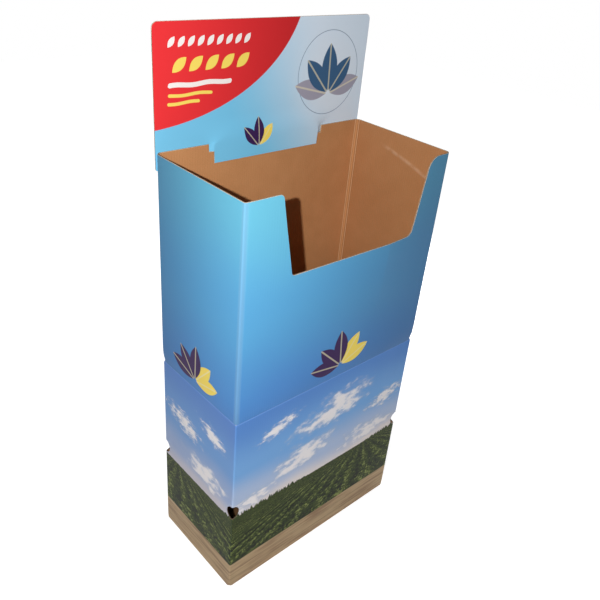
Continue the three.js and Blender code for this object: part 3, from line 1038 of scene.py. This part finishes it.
HORIZON = 256 * MM  # height of the printed horizon
BAND_TOP = 88 * MM  # height of the grained band at the foot
JOINTS = (28 * MM, 57 * MM)  # heights of the joints drawn in it
CLOUDS = [  # place across and up, length, width, turn, and whether it is a small and wispy one
    (0.32, 0.448, 0.175, 0.062, 0.28, False),
    (0.13, 0.486, 0.080, 0.026, 0.30, True),
    (0.53, 0.398, 0.090, 0.034, 0.20, True),
    (0.22, 0.340, 0.150, 0.052, 0.20, False),
    (0.47, 0.300, 0.140, 0.040, 0.05, False),
    (0.06, 0.290, 0.100, 0.030, 0.05, True),
    (-0.205, 0.424, 0.095, 0.040, -0.25, True),
    (-0.085, 0.466, 0.070, 0.030, -0.30, True),
    (-0.12, 0.318, 0.120, 0.048, -0.12, False),
]

# Sockets that say where a point of the sleeve's print lies: the run round the bin, the way across
# from the near corner, the height, the last two as a vector, and a slow noise on it
Sheet = namedtuple("Sheet", ["run", "across", "height", "place", "slow"])


def plain_print(w, sheet, size, colours):
    """Plain print above the fold that deepens towards the fold, with painted shade away from the
    near corner and on the left wall.
    """
    rise = w.over(w.minus(sheet.height, size.fold_height), size.height - size.fold_height)
    rise = w.add(rise, w.sway(sheet.slow, 0.25))
    stops = [(0.0, colours.upper_foot), (0.5, colours.upper_middle), (1.0, colours.upper_top)]
    # Painted shade: darker and bluer away from the near corner and on the left wall
    aside = w.greater(sheet.across, w.times(sheet.across, -1.5))
    painted_side_shade = w.fall(sheet.across, -12 * MM, -4 * MM, 0.11)
    painted_falloff = w.add(painted_side_shade, w.ease(aside, 0.02, 0.62, 0.0, 0.66))
    return w.mix(painted_falloff, w.ramp(rise, *stops), colours.upper_far_painted_shade)


def sky_print(w, sheet, size, colours, groups):
    """Sky that pales to haze at the horizon, with clouds in it and painted shade on the left wall.
    """
    climb = w.over(w.minus(sheet.height, HORIZON), size.fold_height - HORIZON)
    climb = w.add(climb, w.sway(sheet.slow, 0.3))
    stops = [(0.0, colours.haze), (0.2, hex_colour("B9CBEA")), (0.5, colours.sky_middle)]
    sky = w.ramp(climb, *stops, (1.0, colours.sky_top))
    # Painted shade: the sky is darker and bluer on the left wall
    sky = w.mix(w.fall(sheet.across, -3 * MM, 0.0, 0.3), sky, hex_colour("7186BE"))
    flat = w.join(sheet.across, w.times(sheet.height, 1.7))
    billow = w.noise(flat, 17.0, 9.0, 0.56)
    beside = w.join(w.add(sheet.across, 0.37), w.times(sheet.height, 1.9))
    wisps = w.noise(beside, 42.0, 7.0, 0.62)
    mask = 0.0
    for x, y, long, wide, turn, small in CLOUDS:
        noise = wisps if small else billow
        cloud = w.shape(groups["cloud"], sheet.place, x, y, turn, long, wide, noise=noise)
        mask = w.greater(mask, cloud["Mask"])
    puffs = w.noise(flat, 34.0, 5.0, 0.55)
    lit = w.ease(w.total((puffs, 0.7), (mask, 0.45)), 0.42, 0.80)
    shaded = w.mix(lit, hex_colour("B6C2DC"), colours.cloud)
    return w.mix(w.times(mask, 0.97), sky, shaded)


def field_edge(w, sheet):
    """Height of the field's far edge: an uneven horizon, and a hedge that grows in two places."""
    grows_first = w.times(w.ease(sheet.across, -0.05, 0.0), w.fall(sheet.across, 0.17, 0.27))
    grown = w.add(grows_first, w.ease(sheet.across, 0.44, 0.54, 0.0, 0.8))
    leafy = w.noise(w.join(sheet.across, 0.0), 95.0, 4.0, 0.7)
    hedge = w.times(w.times(w.ease(leafy, 0.36, 0.62), grown), 13 * MM)
    return w.add(w.add(HORIZON, w.sway(leafy, 6 * MM)), hedge)


def field_print(w, sheet, colours, groups):
    """Field with rows that run away from the near corner on both walls."""
    on_front = w.ease(sheet.across, -MM, MM)
    vanishing = w.add(-0.24, w.times(on_front, 0.70))
    rows = w.group(
        groups["rows"],
        across=sheet.across,
        height=sheet.height,
        vanishing=vanishing,
        horizon=HORIZON,
    )
    far = w.mix(rows["Far"], colours.leaf_dark, hex_colour("333F1C"))
    stops = [(0.28, colours.leaf_dark), (0.44, hex_colour("2F3B18")), (0.60, colours.leaf_middle)]
    field = w.ramp(rows["Shade"], *stops, (0.80, colours.leaf_light))
    return w.mix(w.times(rows["Far"], 0.45), field, far)


def band_print(w, sheet, colours):
    """Band of long grain at the foot with its joints, and the mask of where it lies."""

    def grained(along, up, detail, roughness=0.5):
        stretched = w.join(w.times(sheet.across, along), w.times(sheet.height, up))
        return w.noise(stretched, 1.0, detail, roughness)

    grain = grained(5.0, 95.0, 6.0, 0.6)
    streaks = grained(14.0, 420.0, 3.0, 0.7)
    knot = grained(9.0, 22.0, 3.0)
    tone = w.total((grain, 0.55), (streaks, 0.25), (knot, 0.25))
    band = w.ramp(
        tone,
        (0.32, hex_colour("7E6248")),
        (0.44, colours.band_dark),
        (0.56, hex_colour("C2A681")),
        (0.70, colours.band_light),
    )
    for joint in JOINTS:
        line = w.add(joint, w.sway(knot, 4 * MM))
        on_joint = w.close_to(sheet.height, line, 0.4 * MM, 1.6 * MM, 0.5)
        band = w.mix(on_joint, band, hex_colour("5A4430"))
    edge = w.add(BAND_TOP, w.sway(grain, 4 * MM))
    return band, w.ease(w.minus(edge, sheet.height), 0.0, 1.5 * MM)


def painted_crease_light(w, sheet, size, colours, groups, printed):
    """Painted shade that dulls the print on the upper corners' bands, and painted highlights on the
    fold and the creases, broken up by a noise like cracked print.
    """
    fold, height = size.fold_height, sheet.height
    highlight_breakup = w.noise(w.join(sheet.run, height), 240.0, 4.0, 0.7)
    # Painted highlight: a pale line along the fold
    pale = w.close_to(height, fold - 1.2 * MM, 0.4 * MM, 1.4 * MM, 0.13)
    from_corner = w.group(groups["corner"], run=sheet.run)["Distance"]
    # Painted shade: the print on the upper corners' bands is dulled and darkened
    on_corner = w.fall(from_corner, 3 * MM, 12 * MM, 0.6)
    dulled = w.times(on_corner, w.ease(height, fold, fold + 2 * MM))
    printed = w.mix(dulled, printed, colours.crease)
    # Painted highlights along the corner creases
    lower_crease_highlight = w.fall(from_corner, 0.6 * MM, 1.8 * MM, 0.05)
    lower_crease_highlight = w.times(lower_crease_highlight, w.fall(height, fold - MM, fold + MM))
    upper_crease = size.upper_band / math.sqrt(2)
    upper_crease_highlight = w.close_to(from_corner, upper_crease, 0.5 * MM, 2.2 * MM, 0.04)
    upper_crease_highlight = w.times(upper_crease_highlight, w.ease(height, fold - MM, fold + MM))
    # Painted highlights on the fold and the creases, broken up by a noise
    worn = w.greater(pale, w.greater(lower_crease_highlight, upper_crease_highlight))
    worn = w.times(worn, w.ease(highlight_breakup, 0.3, 0.62, 0.5, 1.0))
    return w.mix(worn, printed, hex_colour("C8DDF2"))


def sleeve_print(size, colours, groups):
    """The sleeve's print: plain above the fold, then a sky with clouds, a field and a band.

    The print repeats once for the left and front walls and once for the right and back walls. It
    has a sprig on the front and one on the side, just above the fold.
    """
    material, w, shader = new_material("sleeve print")
    vector = w.node("UVMap", uv_map="Board").outputs[0]
    run, height, _ = w.split(vector)
    repeat = size.width + size.depth
    across = w.minus(w.math("FLOORED_MODULO", w.add(run, size.depth), repeat), size.depth)
    place = w.join(across, height)
    sheet = Sheet(run, across, height, place, w.noise(place, 3.0, 2.0))
    fold = size.fold_height

    upper = plain_print(w, sheet, size, colours)
    sky = sky_print(w, sheet, size, colours, groups)
    field = field_print(w, sheet, colours, groups)
    on_field = w.ease(w.minus(field_edge(w, sheet), height), -0.8 * MM, 1.2 * MM)
    band, on_band = band_print(w, sheet, colours)
    lower = w.mix(on_band, w.mix(on_field, sky, field), band)
    printed = w.mix(w.ease(height, fold - 0.4 * MM, fold + 0.4 * MM), lower, upper)
    tones = (colours.plum, colours.yellow, colours.plum, colours.yellow, colours.plum)
    printed = sprig(w, groups, place, printed, 0.315, 0.595, 1.3, tones, turn=4)
    printed = sprig(w, groups, place, printed, -0.155, 0.590, 1.2, tones, turn=-4)
    printed = painted_crease_light(w, sheet, size, colours, groups, printed)

    ribs = w.math("SINE", w.times(run, 2 * math.pi / FLUTE))
    orange_peel = w.noise(vector, 300.0, 2.0)
    relief = w.total((ribs, 0.10), (orange_peel, 0.12))
    roughness = w.add(0.34, w.times(w.noise(vector, 12.0, 3.0), 0.14))
    finish_material(w, shader, printed, roughness, relief, 0.2 * MM)
    return material


LEAF_ROWS = [  # where a row starts, its leaves, their pitch, height, turn and colour
    (-0.272, 9, 0.0235, 1.306, 0.9, "white"),
    (-0.262, 5, 0.0400, 1.262, 0.7, "yellow"),
]
BARS = [  # centre across and up, length, width, wave and colour
    (-0.190, 1.222, 0.16, 0.011, 0.0014, "white"),
    (-0.215, 1.202, 0.11, 0.008, 0.0012, "yellow"),
    (-0.232, 1.186, 0.08, 0.008, 0.0012, "yellow"),
]


def header_print(colours, groups):
    """The card's print: a red field over light blue that pales to the right, bars and leaves."""
    material, w, shader = new_material("header print")
    vector = w.node("UVMap", uv_map="Board").outputs[0]
    x, z, _ = w.split(vector)
    slow = w.noise(vector, 4.0, 2.0)
    paling = w.add(x, w.times(w.minus(z, 1.2), 0.5))
    paling = w.add(w.ease(paling, -0.14, 0.22), w.sway(slow, 0.2))
    tone = w.mix(w.math("MULTIPLY", paling, 1.0, clamp=True), colours.card_blue, colours.card_pale)

    def disc(centre_x, centre_z, radius_x, radius_z):
        """Distance from a centre, as a share of an ellipse's radii."""
        across = w.over(w.minus(x, centre_x), radius_x)
        up = w.over(w.minus(z, centre_z), radius_z)
        return w.hypotenuse(across, up)

    # A pale glow, a thin ring round it and a sprig inside the ring, at the right
    glow = w.fall(disc(0.185, 1.20, 0.15, 0.14), 0.1, 1.0, 0.75)
    tone = w.mix(glow, tone, hex_colour("E9F1FB"))
    ring = w.close_to(disc(0.18, 1.215, 0.098, 0.098), 1.0, 0.004, 0.012, 0.7)
    tone = w.mix(ring, tone, colours.slate)
    tones = (colours.pewter, colours.pewter, colours.slate, colours.slate, colours.slate)
    tone = sprig(w, groups, vector, tone, 0.184, 1.165, 1.45, tones)

    # A small sprig on the tab
    tones = (colours.plum, colours.yellow, colours.plum)
    tone = sprig(w, groups, vector, tone, -0.03, 1.066, 0.85, tones)

    # The red field at the left, with rows of leaves and bars
    red_edge = disc(-0.34, 1.42, 0.43, 0.285)
    red = w.mix(w.ease(x, -0.3, 0.12), colours.red, hex_colour("D22C30"))
    tone = w.mix(w.fall(red_edge, 0.997, 1.003), tone, red)
    for start, count, pitch, centre_z, turn, leaf_tone in LEAF_ROWS:
        along = w.math("FLOORED_MODULO", w.minus(x, start), pitch)
        place = w.join(along, z)
        leaf = w.shape(groups["leaf"], place, pitch / 2, centre_z, turn, pitch * 1.12, pitch * 0.56)
        begun = w.math("GREATER_THAN", x, start)
        ended = w.math("LESS_THAN", x, start + count * pitch)
        mask = w.times(leaf["Mask"], w.times(begun, ended))
        tone = w.mix(mask, tone, getattr(colours, leaf_tone))
    for centre_x, centre_z, long, wide, wave, bar_tone in BARS:
        bar = w.shape(groups["bar"], vector, centre_x, centre_z, 0.0, long, wide, wave=wave)
        tone = w.mix(bar["Mask"], tone, getattr(colours, bar_tone))

    orange_peel = w.noise(vector, 320.0, 2.0)
    roughness = w.add(0.30, w.times(w.noise(vector, 10.0, 3.0), 0.12))
    finish_material(w, shader, tone, roughness, w.times(orange_peel, 0.2), 0.2 * MM)
    return material


_made = {}  # what shared() has made


def shared(scene):
    """The node groups and the board materials that more than one piece uses, made once."""
    if not _made:
        colours, size = scene.bin_colours, scene.sleeve_sizes
        groups = {
            "corner": corner_group(size),
            "leaf": leaf_group(),
            "bar": bar_group(),
            "cloud": cloud_group(),
            "board": board_group(),
            "rows": rows_group(),
        }
        _made["groups"] = groups
        _made["kraft"] = kraft_material("kraft inside", colours, groups, size=size)
        _made["card_back"] = kraft_material("kraft card back", colours, groups, ribs=0.3)
        _made["edge"] = edge_material("cut board edge", colours, FLUTE, size.hole_height)
        _made["card_edge"] = edge_material("cut card edge", colours, CARD_FLUTE, size.hole_height)
        _made["paper"] = paper_material("bared paper", colours, size.hole_height)
        _made["insert"] = kraft_material("kraft inserts", colours, groups, on_board=False, dark=True)
    return _made


# Operators


class AddSleeve(bpy.types.Operator):
    """Adds the folded printed sleeve"""

    bl_idname = "display_bin.add_sleeve"
    bl_label = "Add sleeve"

    def execute(self, context):
        scene = context.scene
        made = shared(scene)
        printed = sleeve_print(scene.sleeve_sizes, scene.bin_colours, made["groups"])
        materials = [printed, made["kraft"], made["edge"], made["paper"]]
        sleeve = make_sleeve(scene.sleeve_sizes, scene.header_sizes, materials)
        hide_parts("bin_sleeve")
        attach(sleeve, "root")
        return {"FINISHED"}


class AddHeader(bpy.types.Operator):
    """Adds the header card"""

    bl_idname = "display_bin.add_header"
    bl_label = "Add header card"

    def execute(self, context):
        scene = context.scene
        made = shared(scene)
        printed = header_print(scene.bin_colours, made["groups"])
        materials = [printed, made["card_back"], made["card_edge"], made["paper"]]
        header = make_header(scene.sleeve_sizes, scene.header_sizes, materials)
        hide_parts("header_card")
        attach(header, "root")
        return {"FINISHED"}


class FinishFalseFloor(bpy.types.Operator):
    """Gives the tray and the panels of the false floor their board finish"""

    bl_idname = "display_bin.finish_false_floor"
    bl_label = "Finish false floor"

    def execute(self, context):
        board = shared(context.scene)["insert"]
        names = ["floor_tray", "long_support", "short_support_left", "short_support_right"]
        for name in names:
            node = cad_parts[name]
            if not node.material_slots:
                node.data.materials.append(board)
            for slot in node.material_slots:
                slot.material = board
        return {"FINISHED"}


# The camera stands where a person would, to the front and left of the bin.
CAMERA_PLACE = Vector((-0.9866, -1.0130, 1.5467))
CAMERA_AZIMUTH = math.radians(-44.43)
CAMERA_ELEVATION = math.radians(30.60)
CAMERA_ROLL = math.radians(5.52)
CAMERA_LENS = 39.35  # millimetres
CAMERA_SENSOR = 36.0  # millimetres
LAMP_PLACE = Vector((-1.061, -0.935, 1.557))  # close to the camera, like its flash
BACK_LAMP_PLACE = Vector((1.95, 0.85, 0.85))
FLOOR_NEAR, FLOOR_FAR = 0.3, 1.3  # the floor's tone eases to white between these distances


def add_camera(scene):
    """A camera that looks down at the bin: backwards is away from it, and it is rolled a little."""
    cos_e, sin_e = math.cos(CAMERA_ELEVATION), math.sin(CAMERA_ELEVATION)
    cos_r, sin_r = math.cos(CAMERA_ROLL), math.sin(CAMERA_ROLL)
    back = Vector(
        (math.sin(CAMERA_AZIMUTH) * cos_e, -math.cos(CAMERA_AZIMUTH) * cos_e, sin_e)
    )
    level = Vector((0, 0, 1)).cross(back).normalized()
    upright = back.cross(level)
    right = level * cos_r + upright * sin_r
    up = upright * cos_r - level * sin_r
    data = bpy.data.cameras.new("camera")
    data.lens = CAMERA_LENS
    data.sensor_width = CAMERA_SENSOR
    camera = bpy.data.objects.new("camera", data)
    turn = Matrix((right, up, back)).transposed().to_4x4()
    camera.matrix_world = Matrix.Translation(CAMERA_PLACE) @ turn
    scene.collection.objects.link(camera)
    scene.camera = camera


def add_lamp(scene, name, place, power, size):
    """A round lamp that is aimed at the middle of the bin and isn't seen by the camera."""
    data = bpy.data.lights.new(name, "AREA")
    data.shape = "DISK"
    data.size = size
    data.energy = power
    lamp = bpy.data.objects.new(name, data)
    aim = Vector((0, 0, scene.sleeve_sizes.fold_height)) - place
    turn = aim.to_track_quat("-Z", "Y").to_matrix().to_4x4()
    lamp.matrix_world = Matrix.Translation(place) @ turn
    lamp.visible_camera = False
    scene.collection.objects.link(lamp)


def rays_that_see_white(w):
    """One for rays from the camera, off gloss and through glass, and nought for the others."""
    path = w.node("LightPath").outputs
    mirrored = w.greater(path["Is Glossy Ray"], path["Is Transmission Ray"])
    return w.greater(path["Is Camera Ray"], mirrored)


class AddStage(bpy.types.Operator):
    """Adds the camera, the lamps, the even light and the floor"""

    bl_idname = "display_bin.add_stage"
    bl_label = "Add stage"

    def execute(self, context):
        scene = context.scene
        stage = scene.stage_settings
        scene.view_settings.view_transform = "Standard"
        add_camera(scene)
        add_lamp(scene, "lamp", LAMP_PLACE, stage.lamp_power, stage.lamp_size)
        add_lamp(
            scene, "back lamp", BACK_LAMP_PLACE, stage.back_lamp_power, stage.back_lamp_size
        )

        world = bpy.data.worlds.new("white room")
        world.use_nodes = True
        scene.world = world
        w = Wires(world.node_tree)
        background = world.node_tree.nodes["Background"]
        seen = rays_that_see_white(w)
        w.feed(background.inputs["Color"], (1.0, 1.0, 1.0, 1.0))
        w.feed(background.inputs["Strength"], w.ease(seen, 0.0, 1.0, stage.fill, 1.0))

        half = stage.floor_size / 2
        mesh = bpy.data.meshes.new("floor")
        corners = [(-half, -half, 0), (half, -half, 0), (half, half, 0), (-half, half, 0)]
        mesh.from_pydata(corners, [], [(0, 1, 2, 3)])
        floor = bpy.data.objects.new("floor", mesh)
        scene.collection.objects.link(floor)
        material, w, shader = new_material("white floor")
        w.feed(shader.inputs["Base Color"], (0.85, 0.85, 0.85, 1.0))
        w.feed(shader.inputs["Roughness"], 1.0)
        w.feed(shader.inputs["Emission Color"], (1.0, 1.0, 1.0, 1.0))
        x, y, _ = w.split(w.node("TexCoord").outputs["Object"])
        away = w.hypotenuse(x, y)
        white = w.ease(away, FLOOR_NEAR, FLOOR_FAR, stage.floor_tone, 1.0)
        w.feed(shader.inputs["Emission Strength"], w.times(rays_that_see_white(w), white))
        mesh.materials.append(material)
        return {"FINISHED"}


class DisplayBinPanel(bpy.types.Panel):
    """Lists the steps that build the display bin"""

    bl_idname = "VIEW3D_PT_display_bin"
    bl_label = "Display bin"
    bl_space_type = "VIEW_3D"
    bl_region_type = "UI"
    bl_category = "Display bin"

    def draw(self, context):
        for operator in OPERATORS:
            self.layout.operator(operator.bl_idname)
        for group in ("sleeve_sizes", "header_sizes", "bin_colours", "stage_settings"):
            settings = getattr(context.scene, group)
            box = self.layout.box()
            for name in settings.__annotations__:
                box.prop(settings, name)


OPERATORS = (AddStage, AddSleeve, AddHeader, FinishFalseFloor)
SETTINGS = {
    "sleeve_sizes": SleeveSizes,
    "header_sizes": HeaderSizes,
    "bin_colours": BinColours,
    "stage_settings": StageSettings,
}


def register():
    for group in SETTINGS.values():
        bpy.utils.register_class(group)
    for operator in OPERATORS:
        bpy.utils.register_class(operator)
    bpy.utils.register_class(DisplayBinPanel)
    for name, group in SETTINGS.items():
        setattr(bpy.types.Scene, name, PointerProperty(type=group))


def unregister():
    for name in SETTINGS:
        delattr(bpy.types.Scene, name)
    bpy.utils.unregister_class(DisplayBinPanel)
    for operator in reversed(OPERATORS):
        bpy.utils.unregister_class(operator)
    for group in reversed(SETTINGS.values()):
        bpy.utils.unregister_class(group)


def main():
    register()
    bpy.ops.display_bin.add_stage()
    bpy.ops.display_bin.add_sleeve()
    bpy.ops.display_bin.add_header()
    bpy.ops.display_bin.finish_false_floor()


if __name__ == "__main__":
    main()
